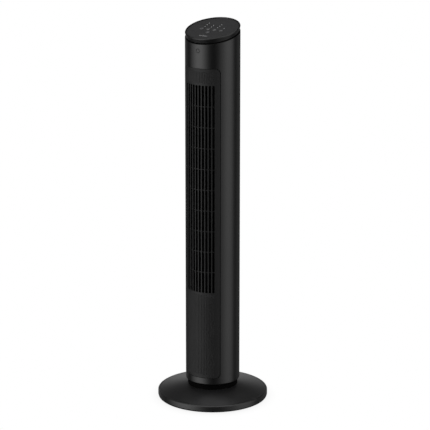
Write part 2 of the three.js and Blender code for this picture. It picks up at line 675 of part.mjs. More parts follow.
function makeSwitchBoard() {
  const board = rod(50, -14.5, -12.9, 32);
  const switches = Object.values(buttonPlaces).map(([x, y]) => {
    return block(x - 3, x + 3, y - 3, y + 3, -13.5, -9.1);
  });
  return join(board, ...switches);
}

function buildControls() {
  addPart('top_cap', makeTopCap(), satinBlack);
  addPart('control_panel', makeControlPanel(), faceBlack);
  addPart('light_guide', makeLightGuide(), clearPlastic, controls);
  addPart('switch_board', makeSwitchBoard(), boardGreen, controls);
  for (const [name, [x, y]] of Object.entries(buttonPlaces)) {
    addPart(name, makeButton(), greyPlastic, controls).position.set(x, y, 0);
  }
}

buildBase();
buildCasings();
buildDuct();
buildBlower();
buildElectrics();
buildControls();

export default fan;
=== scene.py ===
"""Looks of a black tower fan: a slatted round column that turns on a weighted round base."""
import json
import math

import bmesh
import bpy
import numpy as np
from mathutils import Matrix, Vector


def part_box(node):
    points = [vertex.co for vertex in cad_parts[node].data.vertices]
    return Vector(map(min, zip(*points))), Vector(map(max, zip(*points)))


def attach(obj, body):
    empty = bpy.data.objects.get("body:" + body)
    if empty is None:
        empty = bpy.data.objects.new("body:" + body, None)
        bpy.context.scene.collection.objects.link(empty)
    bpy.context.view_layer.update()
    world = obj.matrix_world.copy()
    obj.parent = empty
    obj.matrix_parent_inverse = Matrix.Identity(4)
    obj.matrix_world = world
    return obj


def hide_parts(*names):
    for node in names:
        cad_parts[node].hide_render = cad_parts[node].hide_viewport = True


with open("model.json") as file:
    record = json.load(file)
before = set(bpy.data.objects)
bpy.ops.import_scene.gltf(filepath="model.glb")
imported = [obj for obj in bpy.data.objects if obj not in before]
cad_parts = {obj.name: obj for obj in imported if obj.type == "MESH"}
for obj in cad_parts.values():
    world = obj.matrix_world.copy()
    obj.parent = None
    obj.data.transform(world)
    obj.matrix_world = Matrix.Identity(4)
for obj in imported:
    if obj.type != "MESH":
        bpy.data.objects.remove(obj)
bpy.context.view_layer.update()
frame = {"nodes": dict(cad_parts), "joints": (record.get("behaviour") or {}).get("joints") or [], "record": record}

scene = bpy.context.scene
record = frame["record"]
body_of_node = {node: body for body, nodes in record["behaviour"]["bodies"].items() for node in nodes}
joints = {joint["name"]: joint for joint in frame["joints"]}

MM = 0.001


def box_mm(node):
    lo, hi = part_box(node)
    return lo / MM, hi / MM


def middle_mm(node):
    return [(low + high) / 2 for low, high in zip(*box_mm(node))]


# ---- Driving sizes, in millimetres, read from the frame ----------------------------------
PRESS_AXIS = joints["power_press"]["axis"]
SLOPE = -PRESS_AXIS[1] / PRESS_AXIS[2]
TILT = math.atan(SLOPE)
RADIUS = box_mm("front_housing")[1].x
BOTTOM = box_mm("front_housing")[0].z
TOP = box_mm("handle_shell")[1].z - SLOPE * RADIUS
SPLIT = box_mm("handle_shell")[0].z
INSERT_BOTTOM = box_mm("front_grille")[0].z + 4
INSERT_TOP = box_mm("front_grille")[1].z - 4
PANEL_RADIUS = box_mm("control_panel")[1].x
PANEL_FACE = box_mm("control_panel")[1].z - TOP - SLOPE * PANEL_RADIUS
BASE_RADIUS = box_mm("base_cover")[1].x
RIM_BOTTOM = box_mm("base_cover")[0].z
CONE_TOP = box_mm("base_cover")[1].z
NECK_RADIUS = box_mm("neck_ring")[1].x
NECK_TOP = box_mm("neck_ring")[1].z
SENSOR_HEIGHT = middle_mm("sensor_cover")[2]


def arc_length(degrees):
    return RADIUS * math.radians(degrees)


# ---- Sizes of details, in millimetres and degrees ----------------------------------------
# Column casings. The foot draws in, and between the blend heights levels turn into the slant.
WALL = 2.8
SEAM_ANGLE = 120
SEAM_GAP_ANGLE = 0.2
SEAM_EDGE = arc_length(SEAM_ANGLE - SEAM_GAP_ANGLE)
REAR_EDGE = arc_length(180 - SEAM_ANGLE - SEAM_GAP_ANGLE)
FACET_ANGLE = 3.75
FOOT_ROUNDING = 2.0
FOOT_HOLLOW = 2.4
FOOT_LEVELS = [BOTTOM + 0.8 + 0.4 * i for i in range(4)]
BLEND_START = 962
BLEND_END = TOP - 3
NOTCH_HEIGHTS = (350, 586, 770)
GRIP_CORNER = 14
SENSOR_HOLE_RADIUS = 6.3
SENSOR_DOTS = 8

# Front insert and air slots
INSERT_HALF_ANGLE = 48.6
INSERT_CORNER = 13
SLOT_PITCH = 7.5
SLOT_WIDTH_ANGLE = 4.9
SLOT_BOTTOM = 308
SLOT_TOP = 863
SLOT_CORNER = 1.4
OUTLET_SLOTS = 10
OUTLET_BAYS = 10
INTAKE_SLOTS = 13
INTAKE_BAYS = 4
FLUTE_PITCH = 3.75
FLUTE_HALF_WIDTH = 0.9
FLUTE_DEPTH = 1.0
FLUTE_RAMP = 1.5
FLUTE_SLOT_GAP = 5
FLUTE_EDGE_GAP = 8

# Slanted top, its keys and its lights. The inner radius is what fits inside the column's wall.
INNER_RADIUS = RADIUS - WALL - 0.4
SKIRT_WALL = 2.4
BUTTON_RADIUS = 6.3
BUTTON_FLANGE_DEPTH = 4.1
BUTTON_GAP = 0.35
KEY_PRINT_LEVEL = 0.62
MARK_PLACE = -47
LIGHT_RADIUS = 1.5
LENS_RADIUS = 1.25
LIGHT_FIRST_ROW = 9.5
LIGHT_ROW_PITCH = 10.5
LIGHTS_PER_COLUMN = [3, 2, 3, 1]

# Base
GLAND_CORNER = 2.2
FEET = 6
SCREWS = 4

# Fan wheel
WHEEL_SECTIONS = 3
WHEEL_BLADES = 36
WHEEL_RING = 2
BLADE_SWEEP = 16


# ---- Outlines ----------------------------------------------------------------------------
def filleted(corners, steps=5):
    """Points of a closed outline whose corners are (x, y) or (x, y, rounding radius)."""
    points = []
    for i, corner in enumerate(corners):
        here = Vector(corner[:2])
        radius = corner[2] if len(corner) > 2 else 0
        if not radius:
            points.append(here)
            continue
        before = (Vector(corners[i - 1][:2]) - here).normalized()
        after = (Vector(corners[(i + 1) % len(corners)][:2]) - here).normalized()
        half = before.angle(after) / 2
        centre = here + (before + after).normalized() * (radius / math.sin(half))
        run = radius / math.tan(half)
        first = here + before * run - centre
        last = here + after * run - centre
        sweep = math.pi - 2 * half
        for step in range(steps + 1):
            share = step / steps
            lead = math.sin((1 - share) * sweep) / math.sin(sweep)
            follow = math.sin(share * sweep) / math.sin(sweep)
            points.append(centre + first * lead + last * follow)
    return points


def circle(radius, x=0.0, y=0.0, count=24, stretch=1.0):
    """Points of a circle, or of one stretched along Y."""
    turns = [2 * math.pi * i / count for i in range(count)]
    return [Vector((x + radius * math.cos(t), y + radius * stretch * math.sin(t))) for t in turns]


def rounded_box(x0, x1, y0, y1, radius, steps=5):
    corners = [(x0, y0, radius), (x1, y0, radius), (x1, y1, radius), (x0, y1, radius)]
    return filleted(corners, steps)


# ---- Meshes ------------------------------------------------------------------------------
CREASE_ANGLE = 38
PLATE_CREASE_ANGLE = 50


def to_mesh(bm):
    """Turns a bmesh in millimetres into a smooth mesh in metres with crisp corners."""
    bmesh.ops.recalc_face_normals(bm, faces=bm.faces)
    bm.transform(Matrix.Scale(MM, 4))
    mesh = bpy.data.meshes.new("mesh")
    bm.to_mesh(mesh)
    bm.free()
    mesh.shade_smooth()
    mesh.set_sharp_from_angle(angle=math.radians(CREASE_ANGLE))
    return mesh


def add_lathe(bm, outline, segments, matrix):
    """Adds a closed solid of revolution about Z from an outline of (radius, height) points."""
    rings = []
    for radius, height in outline:
        if radius < 1e-6:
            rings.append([bm.verts.new(matrix @ Vector((0, 0, height)))] * segments)
            continue
        ring = []
        for i in range(segments):
            turn = 2 * math.pi * i / segments
            point = Vector((radius * math.sin(turn), -radius * math.cos(turn), height))
            ring.append(bm.verts.new(matrix @ point))
        rings.append(ring)
    for lower, upper in zip(rings, rings[1:] + rings[:1]):
        for i in range(segments):
            j = (i + 1) % segments
            corners = list(dict.fromkeys((lower[i], lower[j], upper[j], upper[i])))
            if len(corners) > 2:
                bm.faces.new(corners)


def lathe(outline, segments, matrix=Matrix.Identity(4)):
    bm = bmesh.new()
    add_lathe(bm, outline, segments, matrix)
    return to_mesh(bm)


def add_loft(bm, rings):
    """Adds a closed solid through rings of points, its first and last rings filled in."""
    loops = [[bm.verts.new(point) for point in ring] for ring in rings]
    count = len(loops[0])
    for lower, upper in zip(loops, loops[1:]):
        for i in range(count):
            j = (i + 1) % count
            bm.faces.new((lower[i], lower[j], upper[j], upper[i]))
    bm.faces.new(loops[0][::-1])
    bm.faces.new(loops[-1])


def loft(rings):
    bm = bmesh.new()
    add_loft(bm, rings)
    return to_mesh(bm)


def add_arc_bar(bm, inner, outer, start, end, z0, z1):
    """Adds a level curved bar with softened corners between two angles from the front."""
    corners = [(inner, z0, 0.25), (outer, z0, 0.25), (outer, z1, 0.25), (inner, z1, 0.25)]
    section = filleted(corners, 2)
    count = round((end - start) / FACET_ANGLE)
    rings = []
    for i in range(count + 1):
        turn = math.radians(start + (end - start) * i / count)
        across = Vector((math.sin(turn), -math.cos(turn), 0))
        rings.append([across * radius + Vector((0, 0, height)) for radius, height in section])
    add_loft(bm, rings)


def evaluated_mesh(data, modifiers=()):
    """A new mesh of a mesh or curve with modifiers, given as (kind, settings), applied."""
    carrier = bpy.data.objects.new("carrier", data)
    scene.collection.objects.link(carrier)
    for kind, settings in modifiers:
        modifier = carrier.modifiers.new(kind, kind)
        for key, value in settings.items():
            setattr(modifier, key, value)
    graph = bpy.context.evaluated_depsgraph_get()
    result = bpy.data.meshes.new_from_object(carrier.evaluated_get(graph))
    bpy.data.objects.remove(carrier)
    return result


def add_spline(curve, points, closed=False):
    """Adds a straight-sided stroke through flat points to a curve."""
    spline = curve.splines.new("POLY")
    spline.points.add(len(points) - 1)
    spline.use_cyclic_u = closed
    for point, (x, y) in zip(spline.points, points):
        point.co = (x, y, 0, 1)


def flat_plate(outline, holes, thickness, edge, edge_steps=1):
    """A bmesh of a flat plate with rounded edges. Its outer face is level with Z = 0."""
    curve = bpy.data.curves.new("plate", "CURVE")
    curve.dimensions = "2D"
    curve.fill_mode = "BOTH"
    curve.extrude = thickness / 2 - edge
    curve.bevel_depth = edge
    curve.bevel_resolution = edge_steps
    curve.offset = -edge
    for loop in [outline, *holes]:
        add_spline(curve, loop, closed=True)
    bm = bmesh.new()
    bm.from_mesh(evaluated_mesh(curve))
    bmesh.ops.translate(bm, verts=bm.verts, vec=(0, 0, -thickness / 2))
    bmesh.ops.remove_doubles(bm, verts=bm.verts, dist=1e-3)
    bmesh.ops.recalc_face_normals(bm, faces=bm.faces)
    return bm


def slice_across(bm, normal, places):
    """Cuts new edges into a flat plate at the given places along an axis."""
    for place in places:
        everything = bm.verts[:] + bm.edges[:] + bm.faces[:]
        middle = Vector(normal) * place
        bmesh.ops.bisect_plane(bm, geom=everything, dist=1e-4, plane_co=middle, plane_no=normal)


def flat_mesh(bm):
    """Turns a flat plate into a smooth mesh, still in millimetres."""
    mesh = bpy.data.meshes.new("flat")
    bm.to_mesh(mesh)
    bm.free()
    mesh.shade_smooth()
    mesh.set_sharp_from_angle(angle=math.radians(PLATE_CREASE_ANGLE))
    return mesh


def corner_normals(mesh):
    """Corner normals in which flat faces stay flat and rounded edges stay round."""
    even = evaluated_mesh(mesh, [("WEIGHTED_NORMAL", {"keep_sharp": True, "weight": 100})])
    normals = np.empty(len(even.loops) * 3)
    even.corner_normals.foreach_get("vector", normals)
    return normals.reshape(-1, 3)


def bottom_inset(height):
    """How far the column's surface draws in at a height near its bottom edge, and its rate."""
    below = np.clip(BOTTOM + FOOT_ROUNDING - height, 0, None)
    return below ** 2 / (2 * FOOT_HOLLOW), -below / FOOT_HOLLOW


def wrap_on_column(mesh, middle=0.0, sink=0.0):
    """Bends a flat plate, X along the arc and Y up, round the column at an angle from front.

    Near the top it lifts heights into the slanted top, and near the bottom it draws in.
    """
    normals = corner_normals(mesh)
    places = np.empty(len(mesh.vertices) * 3)
    mesh.vertices.foreach_get("co", places)
    along, height, out = places.reshape(-1, 3).T
    turn = math.radians(middle) + along / RADIUS
    inset, inset_rate = bottom_inset(height)
    reach = RADIUS - sink + out - inset
    span = BLEND_END - BLEND_START
    lift = np.clip((height - BLEND_START) / span, 0, 1)
    lift_rate = np.where((lift > 0) & (lift < 1), 1 / span, 0)
    sine, cosine = np.sin(turn), np.cos(turn)
    y = -reach * cosine
    wrapped = np.stack([reach * sine, y, height + lift * SLOPE * y], axis=1)
    rates = np.zeros((len(along), 3, 3))
    rates[:, 0, 0] = reach * cosine / RADIUS
    rates[:, 0, 1] = -inset_rate * sine
    rates[:, 0, 2] = sine
    rates[:, 1, 0] = reach * sine / RADIUS
    rates[:, 1, 1] = inset_rate * cosine
    rates[:, 1, 2] = -cosine
    rates[:, 2, :] = (lift * SLOPE)[:, None] * rates[:, 1, :]
    rates[:, 2, 1] += 1 + lift_rate * SLOPE * y
    turned = np.linalg.inv(rates).transpose(0, 2, 1)
    corner_vertex = np.empty(len(mesh.loops), int)
    mesh.loops.foreach_get("vertex_index", corner_vertex)
    bent = np.einsum("nij,nj->ni", turned[corner_vertex], normals)
    bent /= np.linalg.norm(bent, axis=1, keepdims=True)
    mesh.vertices.foreach_set("co", (wrapped * MM).ravel())
    mesh.update()
    mesh.normals_split_custom_set(bent.tolist())
    return mesh


def facets(start, end):
    """Places along the arc where a plate is cut so that it can bend, between two angles."""
    count = int((end - start) / FACET_ANGLE)
    angles = [start + (end - start) * i / (count + 1) for i in range(1, count + 1)]
    return [arc_length(angle) for angle in angles]


def joined(*meshes):
    """One mesh of several, custom normals kept."""
    objects = []
    for mesh in meshes:
        carrier = bpy.data.objects.new("carrier", mesh)
        scene.collection.objects.link(carrier)
        objects.append(carrier)
    with bpy.context.temp_override(
        active_object=objects[0], selected_objects=objects, selected_editable_objects=objects
    ):
        bpy.ops.object.join()
    mesh = objects[0].data
    bpy.data.objects.remove(objects[0])
    return mesh


def carve(mesh, *cutters):
    """Takes closed cutter meshes away from a mesh."""
    for cutter in cutters:
        tool = bpy.data.objects.new("cutter", cutter)
        scene.collection.objects.link(tool)
        settings = {"operation": "DIFFERENCE", "solver": "EXACT", "object": tool}
        mesh = evaluated_mesh(mesh, [("BOOLEAN", settings)])
        bpy.data.objects.remove(tool)
    mesh.shade_smooth()
    mesh.set_sharp_from_angle(angle=math.radians(CREASE_ANGLE))
    return mesh


def add_piece(name, mesh, material, slot, *nodes, body=None, even=True):
    """Puts a mesh in the scene as a piece that stands for CAD nodes and rides their body."""
    mesh.name = name
    mesh.materials.clear()
    mesh.materials.append(material)
    piece = bpy.data.objects.new(name, mesh)
    scene.collection.objects.link(piece)
    if even:
        modifier = piece.modifiers.new("even_shading", "WEIGHTED_NORMAL")
        modifier.keep_sharp = True
    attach(piece, body or body_of_node[nodes[0]])
    if nodes:
        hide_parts(*nodes)
    return piece


# ---- Materials ---------------------------------------------------------------------------
NOISE_RANGE = (0.3, 0.7)
DUST_COLOUR = (0.09, 0.087, 0.082, 1)


class Maker:
    """Builds a material's nodes. An input is given by name, or by number as in i0 or i1."""

    def __init__(self, name):
        self.material = bpy.data.materials.new(name)
        self.material.use_nodes = True
        self.tree = self.material.node_tree
        self.shader = self.tree.nodes["Principled BSDF"]

    def node(self, kind, settings=None, **inputs):
        made = self.tree.nodes.new(kind)
        for key, value in (settings or {}).items():
            setattr(made, key, value)
        for key, value in inputs.items():
            numbered = key[0] == "i" and key[1:].isdigit()
            socket = made.inputs[int(key[1:]) if numbered else key]
            if isinstance(value, bpy.types.NodeSocket):
                self.tree.links.new(value, socket)
            else:
                socket.default_value = value
        return made

    def link(self, output, socket_name):
        self.tree.links.new(output, self.shader.inputs[socket_name])


def noise(maker, coordinates, scale, detail=3.0, roughness=0.55):
    settings = {"Scale": scale, "Detail": detail, "Roughness": roughness}
    return maker.node("ShaderNodeTexNoise", Vector=coordinates, **settings).outputs["Fac"]


def stretched(maker, coordinates, x, y, z):
    made = maker.node("ShaderNodeMapping", Scale=(x, y, z), Vector=coordinates)
    return made.outputs["Vector"]


def spread(maker, value, low, high, to_low, to_high):
    """Maps a value's range from low to high onto another range, and clamps it there."""
    settings = {"clamp": True}
    made = maker.node("ShaderNodeMapRange", settings, i0=value, i1=low, i2=high, i3=to_low, i4=to_high)
    return made.outputs["Result"]


def mixed_colour(maker, amount, first, second, blend="MIX"):
    """Two colours mixed, each of them another node's output or four numbers."""
    settings = {"data_type": "RGBA", "blend_type": blend}
    return maker.node("ShaderNodeMix", settings, i0=amount, i6=first, i7=second).outputs[2]


def tinted(maker, colour, shade):
    """A colour made darker or lighter by a value."""
    shades = maker.node("ShaderNodeCombineColor", Red=shade, Green=shade, Blue=shade)
    return mixed_colour(maker, 1.0, (*colour, 1), shades.outputs[0], "MULTIPLY")


def moulded(
    name, colour, roughness, grain=0.5, depth=0.05, mottle=0.12, specular=0.5, scuff=0.0, dust=0.0
):
    """Moulded plastic: a fine spark-eroded grain, faint flow marks, scuffs and a little dust.

    Colour is linear. Grain is the size of the texture and depth its height, in millimetres.
    """
    maker = Maker(name)
    place = maker.node("ShaderNodeTexCoord").outputs["Object"]
    flow = noise(maker, stretched(maker, place, 1, 1, 0.35), 26, 4)
    cloud = noise(maker, place, 7, 2)
    fine = noise(maker, place, 1 / (grain * MM), 2, 0.6)
    shade = spread(maker, flow, *NOISE_RANGE, 1 - mottle, 1 + mottle)
    colour_out = tinted(maker, colour, shade)
    rough = spread(maker, cloud, *NOISE_RANGE, roughness - 0.02, roughness + 0.02)
    if scuff:
        streaks = noise(maker, stretched(maker, place, 60, 60, 9), 12, 5, 0.7)
        worn = spread(maker, streaks, 0.66, 0.78, 0, scuff)
        paler = [min(1, part * 2.5 + 0.01) for part in colour]
        colour_out = mixed_colour(maker, worn, colour_out, (*paler, 1))
    if dust:
        normal = maker.node("ShaderNodeNewGeometry").outputs["Normal"]
        facing = maker.node("ShaderNodeSeparateXYZ", Vector=normal)
        upward = spread(maker, facing.outputs["Z"], 0.55, 1.0, 0, dust)
        speckle = spread(maker, noise(maker, place, 420, 3, 0.7), 0.45, 0.75, 0.2, 1)
        amount = maker.node("ShaderNodeMath", {"operation": "MULTIPLY"}, i0=upward, i1=speckle)
        colour_out = mixed_colour(maker, amount.outputs[0], colour_out, DUST_COLOUR)
    bump = maker.node("ShaderNodeBump", Height=fine, Strength=0.5, Distance=depth * MM)
    maker.link(colour_out, "Base Color")
    maker.link(rough, "Roughness")
    maker.link(bump.outputs["Normal"], "Normal")
    maker.shader.inputs["Specular IOR Level"].default_value = specular
    return maker.material


def metallic(name, colour, roughness, brush=(1, 1, 30), pitting=0.0):
    """Metal with fine drawn lines, uneven gloss, and pits where it is cast."""
    maker = Maker(name)
    place = maker.node("ShaderNodeTexCoord").outputs["Object"]
    lines = noise(maker, stretched(maker, place, *brush), 90, 4, 0.65)
    cloud = noise(maker, place, 40, 3)
    shade = spread(maker, cloud, *NOISE_RANGE, 0.82, 1.1)
    height = lines
    if pitting:
        pits = spread(maker, noise(maker, place, 700, 3, 0.7), 0.35, 0.5, 0, 1)
        added = maker.node("ShaderNodeMath", {"operation": "MULTIPLY_ADD"}, i0=pits, i1=pitting, i2=lines)
        height = added.outputs[0]
    bump = maker.node("ShaderNodeBump", Height=height, Strength=0.3, Distance=0.03 * MM)
    maker.link(tinted(maker, colour, shade), "Base Color")
    maker.link(spread(maker, lines, *NOISE_RANGE, roughness - 0.08, roughness + 0.08), "Roughness")
    maker.link(bump.outputs["Normal"], "Normal")
    maker.shader.inputs["Metallic"].default_value = 1.0
    return maker.material


def grey(value):
    """A grey with a trace of blue."""
    return (value, value, value * 1.02)


housing_black = moulded("housing_black", grey(0.006), 0.3, scuff=0.03, dust=0.01)
insert_black = moulded("insert_black", grey(0.009), 0.54, specular=0.36, scuff=0.03)
base_black = moulded("base_black", grey(0.011), 0.3, scuff=0.05, dust=0.01)
cap_black = moulded("cap_black", grey(0.006), 0.3, dust=0.01)
panel_black = moulded(
    "panel_charcoal", grey(0.042), 0.5, grain=0.35, mottle=0.06, specular=0.1, dust=0.01,
)
# Near-black plastic, darker than the casings: its own black plus painted shade, for the neck in the gap under the
# column and the cap's skirt in the groove.
black_with_painted_shade = moulded("black_with_painted_shade", grey(0.0015), 0.8, mottle=0.2, specular=0.05)
# Black plastic made darker than the casings, so that slots, pockets and the parts seen through them read black:
# its own colour plus painted shade.
inner_black_with_painted_shade = moulded("inner_black_with_painted_shade", grey(0.002), 0.8, mottle=0.2, specular=0.06, dust=0.005)
# The wheel's black is likewise darker than the casings: its own colour plus painted shade, so that it reads black
# through the slots.
wheel_black_with_painted_shade = moulded("wheel_black_with_painted_shade", grey(0.002), 0.7, mottle=0.15, specular=0.06)
key_grey = moulded("key_grey", grey(0.07), 0.45, grain=0.3, mottle=0.06, specular=0.3)
print_grey = moulded("print_grey", grey(0.32), 0.5, grain=0.2, mottle=0.08)
lens_grey = moulded("lens_grey", grey(0.65), 0.35, grain=0.2, mottle=0.08)
rubber_black = moulded("rubber_black", grey(0.012), 0.75, grain=0.8, mottle=0.25, dust=0.06)
nylon_white = moulded("nylon_white", (0.72, 0.7, 0.64), 0.45, mottle=0.05)
board_green = moulded("board_green", (0.012, 0.09, 0.03), 0.35, grain=1.5, mottle=0.3)
steel = metallic("zinc_steel", (0.55, 0.56, 0.58), 0.35)
motor_steel = metallic("motor_steel", (0.33, 0.34, 0.35), 0.42, brush=(1, 1, 45))
cast_iron = metallic("cast_iron", (0.12, 0.125, 0.13), 0.65, brush=(1, 1, 1), pitting=1.5)
bronze = metallic("sintered_bronze", (0.42, 0.26, 0.09), 0.45, brush=(1, 1, 1), pitting=0.8)


# ---- Column casings ----------------------------------------------------------------------
def fitted(bm, start, end, levels=()):
    """Cuts a flat plate so that it can bend, at every facet and at the given heights."""
    slice_across(bm, (1, 0, 0), facets(start, end))
    slice_across(bm, (0, 1, 0), levels)
    return bm


def make_front_housing():
    """The front shell, with the window for the insert and the hole for the sensor."""
    outline = rounded_box(-SEAM_EDGE, SEAM_EDGE, BOTTOM, TOP, 0.8, 2)
    half = arc_length(INSERT_HALF_ANGLE + 0.3)
    window = rounded_box(-half, half, INSERT_BOTTOM, INSERT_TOP, INSERT_CORNER, 8)
    sensor = circle(SENSOR_HOLE_RADIUS, 0, SENSOR_HEIGHT, 32)
    bm = flat_plate(outline, [window, sensor], WALL, 0.25)
    fitted(bm, -SEAM_ANGLE, SEAM_ANGLE, [*FOOT_LEVELS, BLEND_START, BLEND_END])
    return wrap_on_column(flat_mesh(bm))


def slots(count):
    """Outlines of upright air slots, spread evenly about the middle of a plate."""
    half = arc_length(SLOT_WIDTH_ANGLE / 2)
    middles = [arc_length((i - (count - 1) / 2) * SLOT_PITCH) for i in range(count)]
    return [rounded_box(x - half, x + half, SLOT_BOTTOM, SLOT_TOP, SLOT_CORNER, 3) for x in middles]


def press_flutes(bm, low, high):
    """Presses shallow upright grooves into the outer face between two heights."""
    half_count = int(OUTLET_SLOTS * SLOT_PITCH / 2 / FLUTE_PITCH - 0.5)
    for i in range(-half_count, half_count + 1):
        middle = i * FLUTE_PITCH
        edges = (middle - FLUTE_HALF_WIDTH, middle, middle + FLUTE_HALF_WIDTH)
        slice_across(bm, (1, 0, 0), [arc_length(angle) for angle in edges])
    slice_across(bm, (0, 1, 0), (low, low + FLUTE_RAMP, high - FLUTE_RAMP, high))
    outer_face = [vertex for vertex in bm.verts if vertex.co.z >= -0.1]
    for vertex in outer_face:
        angle = math.degrees(vertex.co.x / RADIUS)
        nearest = min(max(round(angle / FLUTE_PITCH), -half_count), half_count) * FLUTE_PITCH
        across = max(0, 1 - abs(angle - nearest) / FLUTE_HALF_WIDTH)
        inside = min(vertex.co.y - low, high - vertex.co.y) / FLUTE_RAMP
        vertex.co.z -= FLUTE_DEPTH * across * min(max(inside, 0), 1)


def make_tie_ribs(bays, inner, outer, middle, half_angle):
    """Level curved bars behind the slots, which part them into bays."""
    bm = bmesh.new()
    pitch = (SLOT_TOP - SLOT_BOTTOM) / bays
    for i in range(1, bays):
        height = SLOT_BOTTOM + i * pitch
        add_arc_bar(bm, inner, outer, middle - half_angle, middle + half_angle, height - 1, height + 1)
    return to_mesh(bm)


def make_front_grille():
    """The insert: a slotted face, fluted above and below the slots, and its tie ribs."""
    half = arc_length(INSERT_HALF_ANGLE - 0.9)
    outline = rounded_box(-half, half, INSERT_BOTTOM + 0.5, INSERT_TOP - 0.5, INSERT_CORNER - 0.4, 8)
    bm = flat_plate(outline, slots(OUTLET_SLOTS), 1.6, 0.35)
    fitted(bm, -INSERT_HALF_ANGLE, INSERT_HALF_ANGLE)
    press_flutes(bm, SLOT_TOP + FLUTE_SLOT_GAP, INSERT_TOP - FLUTE_EDGE_GAP)
    press_flutes(bm, INSERT_BOTTOM + FLUTE_EDGE_GAP, SLOT_BOTTOM - FLUTE_SLOT_GAP)
    face = wrap_on_column(flat_mesh(bm), sink=0.5)
    ribs = make_tie_ribs(OUTLET_BAYS, RADIUS - 5.3, RADIUS - 3, middle=0, half_angle=38)
    return joined(face, ribs)


def make_insert_frame():
    """The insert's backing: a rim in the window and a flange behind the housing's wall."""
    opening = arc_length(OUTLET_SLOTS * SLOT_PITCH / 2)
    hole = rounded_box(-opening, opening, SLOT_BOTTOM, SLOT_TOP, 1, 2)
    layers = []
    for grow, thickness, sink in ((-1.6, 1.2, 2.0), (2, 2.2, 3.1)):
        reach = INSERT_HALF_ANGLE + grow
        half = arc_length(reach)
        outline = rounded_box(-half, half, INSERT_BOTTOM - 2 * grow, INSERT_TOP + 2 * grow, 3, 2)
        bm = flat_plate(outline, [hole], thickness, 0.3)
        fitted(bm, -reach, reach)
        layers.append(wrap_on_column(flat_mesh(bm), sink=sink))
    return joined(*layers)


def make_rear_grille():
    """The lower rear shell, with the intake slots and small notches along its side seams."""
    side, inset = REAR_EDGE, REAR_EDGE - arc_length(1.6)
    top_edge = SPLIT - 0.3
    right_side = [(side, BOTTOM, 0.6)]
    for height in NOTCH_HEIGHTS:
        low, high = height - 2.5, height + 2.5
        right_side += [(side, low), (inset, low, 0.4), (inset, high, 0.4), (side, high)]
    right_side.append((side, top_edge, 0.6))
    left_side = [(-corner[0], *corner[1:]) for corner in reversed(right_side)]
    outline = filleted([left_side[-1], *right_side, *left_side[:-1]], 2)
    bm = flat_plate(outline, slots(INTAKE_SLOTS), WALL, 0.6)
    fitted(bm, SEAM_ANGLE - 180, 180 - SEAM_ANGLE, FOOT_LEVELS)
    panel = wrap_on_column(flat_mesh(bm), middle=180)
    ribs = make_tie_ribs(INTAKE_BAYS, RADIUS - 4.8, RADIUS - WALL + 0.2, middle=180, half_angle=49.5)
    return joined(panel, ribs)


def handle_outline(arc=True):
    """The grip opening's half width, along the arc or straight, and its low and high edges."""
    hollow = box_mm("handle_cup")
    half = hollow[1].x - 3
    half = RADIUS * math.asin(half / RADIUS) if arc else half
    return half, hollow[0].z + 3, hollow[1].z - 3


def make_handle_shell():
    """The upper rear shell, with the rounded grip opening."""
    outline = rounded_box(-REAR_EDGE, REAR_EDGE, SPLIT, TOP, 0.6, 2)
    half, low, high = handle_outline()
    grip = rounded_box(-half, half, low, high, GRIP_CORNER, 8)
    bm = flat_plate(outline, [grip], WALL, 1.0, 3)
    fitted(bm, SEAM_ANGLE - 180, 180 - SEAM_ANGLE, [BLEND_START, BLEND_END])
    return wrap_on_column(flat_mesh(bm), middle=180)


def make_handle_cup():
    """A rounded pocket behind the grip opening, open to the back."""
    half, low, high = handle_outline(arc=False)
    back = box_mm("handle_cup")[0].y + 3
    rounding, wall, steps = 9.0, 2.6, 5

    def section(shrink, depth):
        """A ring at a depth, or on the column's inner wall if no depth is given."""
        corner = GRIP_CORNER - 1 - min(shrink, 8) / 2
        ring = rounded_box(-half + shrink, half - shrink, low + shrink, high - shrink, corner, 6)
        if depth is None:
            return [Vector((x, math.sqrt(INNER_RADIUS ** 2 - x * x), z)) for x, z in ring]
        return [Vector((x, depth, z)) for x, z in ring]

    inside = [section(0, None), section(0, back + rounding)]
    outside = [section(-wall, None), section(-wall, back + rounding)]
    for step in range(1, steps + 1):
        turn = math.radians(90 * step / steps)
        draw = rounding * (1 - math.cos(turn))
        deep = back + rounding * (1 - math.sin(turn))
        inside.append(section(draw, deep))
        outside.append(section(draw - wall, deep - wall))
    return loft([*reversed(inside), *outside])


add_piece("housing_shell", make_front_housing(), housing_black, "housing", "front_housing", even=False)
add_piece("grille_insert", make_front_grille(), insert_black, "housing", "front_grille", even=False)
add_piece("insert_backing", make_insert_frame(), inner_black_with_painted_shade, "housing", body="column", even=False)
add_piece("intake_panel", make_rear_grille(), housing_black, "housing", "rear_grille", even=False)
add_piece("grip_panel", make_handle_shell(), housing_black, "housing", "handle_shell", even=False)
add_piece("grip_pocket", make_handle_cup(), inner_black_with_painted_shade, "dark_plastic", "handle_cup")


def make_sensor_cover():
    """A small disc with a ring of holes, flush with the housing."""
    ring = circle(4.4, 0, SENSOR_HEIGHT, SENSOR_DOTS)
    dots = [circle(1.0, *middle, 12) for middle in ring]
    bm = flat_plate(circle(SENSOR_HOLE_RADIUS - 0.08, 0, SENSOR_HEIGHT, 32), dots, 2.2, 0.08)
    fitted(bm, -5, 5)
    return wrap_on_column(flat_mesh(bm), sink=0.05)


add_piece("receiver_grille", make_sensor_cover(), housing_black, "dark_plastic", "sensor_cover", even=False)

# ---- Slanted top -------------------------------------------------------------------------
slant = Matrix.Identity(4)
slant[2][1] = SLOPE
slant[2][3] = TOP
panel_place = Matrix.Translation((0, 0, TOP + PANEL_FACE)) @ Matrix.Rotation(TILT, 4, "X")


